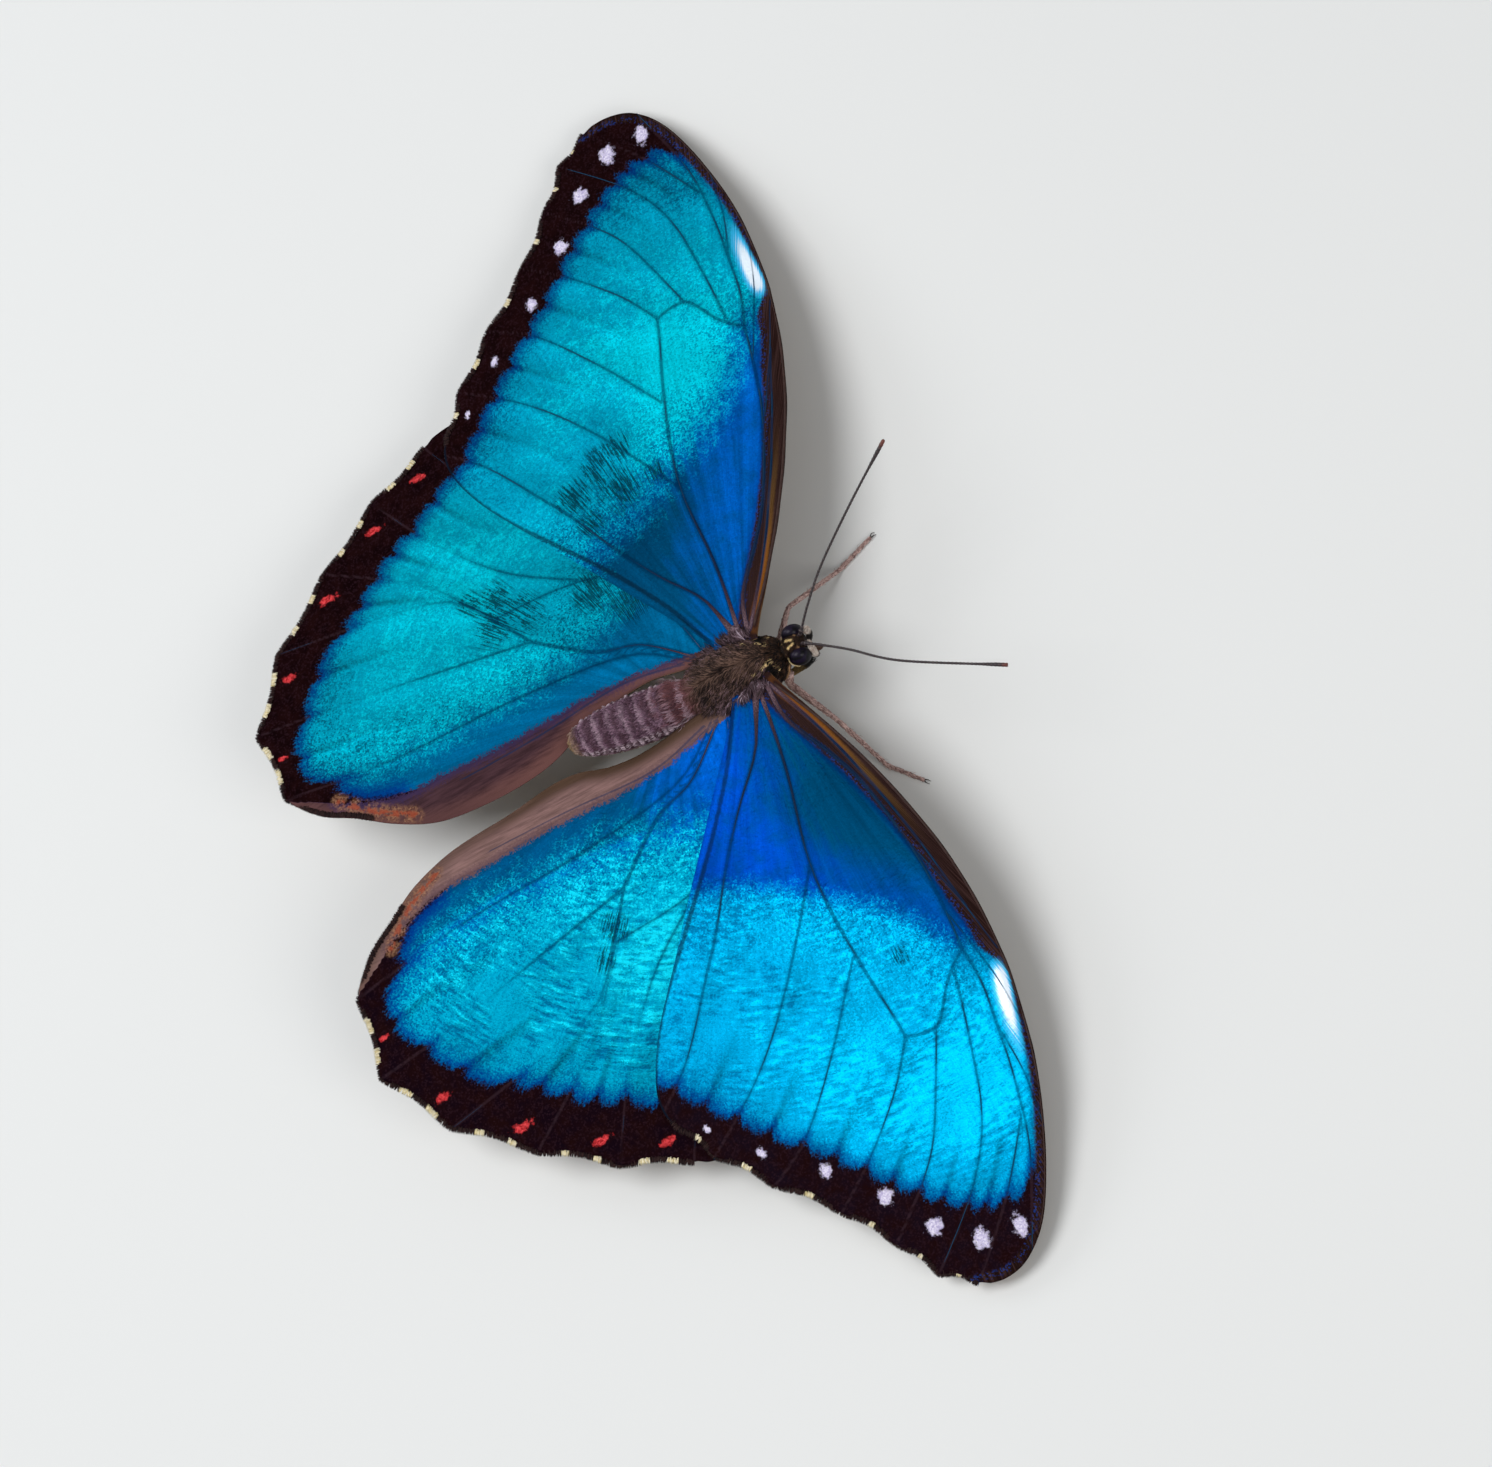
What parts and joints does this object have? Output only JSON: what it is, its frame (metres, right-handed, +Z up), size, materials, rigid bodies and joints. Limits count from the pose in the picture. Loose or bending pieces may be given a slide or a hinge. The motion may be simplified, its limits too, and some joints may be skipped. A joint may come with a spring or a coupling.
{
  "type": "blue morpho butterfly",
  "caption": "Life-size blue morpho butterfly standing with its four wings spread nearly flat, head with clubbed antennae, body and four walking legs.",
  "frame": {"origin": "on the floor, at the middle of the bounding box seen from above", "axes": "+Z up, the head toward -Y, the insect's left wings toward +X"},
  "size_m": [0.1282, 0.078, 0.0188],
  "materials": {
    "wing": "satin",
    "thorax": "matte",
    "abdomen": "matte",
    "head": "matte",
    "palp": "matte",
    "eye": "gloss",
    "antenna": "satin",
    "leg": "matte"
  },
  "bodies": {
    "root": {"head": "head", "eye_left": "eye", "eye_right": "eye", "palp_left": "palp", "palp_right": "palp", "proboscis": "antenna", "antenna_left": "antenna", "antenna_right": "antenna", "collar": "thorax", "thorax": "thorax", "abdomen": "abdomen", "forewing_left": "wing", "forewing_right": "wing", "hindwing_left": "wing", "hindwing_right": "wing", "foreleg_left": "leg", "foreleg_right": "leg", "midleg_left_femur": "leg", "midleg_left_tibia": "leg", "midleg_left_tarsus": "leg", "midleg_right_femur": "leg", "midleg_right_tibia": "leg", "midleg_right_tarsus": "leg", "hindleg_left_femur": "leg", "hindleg_left_tibia": "leg", "hindleg_left_tarsus": "leg", "hindleg_right_femur": "leg", "hindleg_right_tibia": "leg", "hindleg_right_tarsus": "leg"}
  },
  "joints": []
}
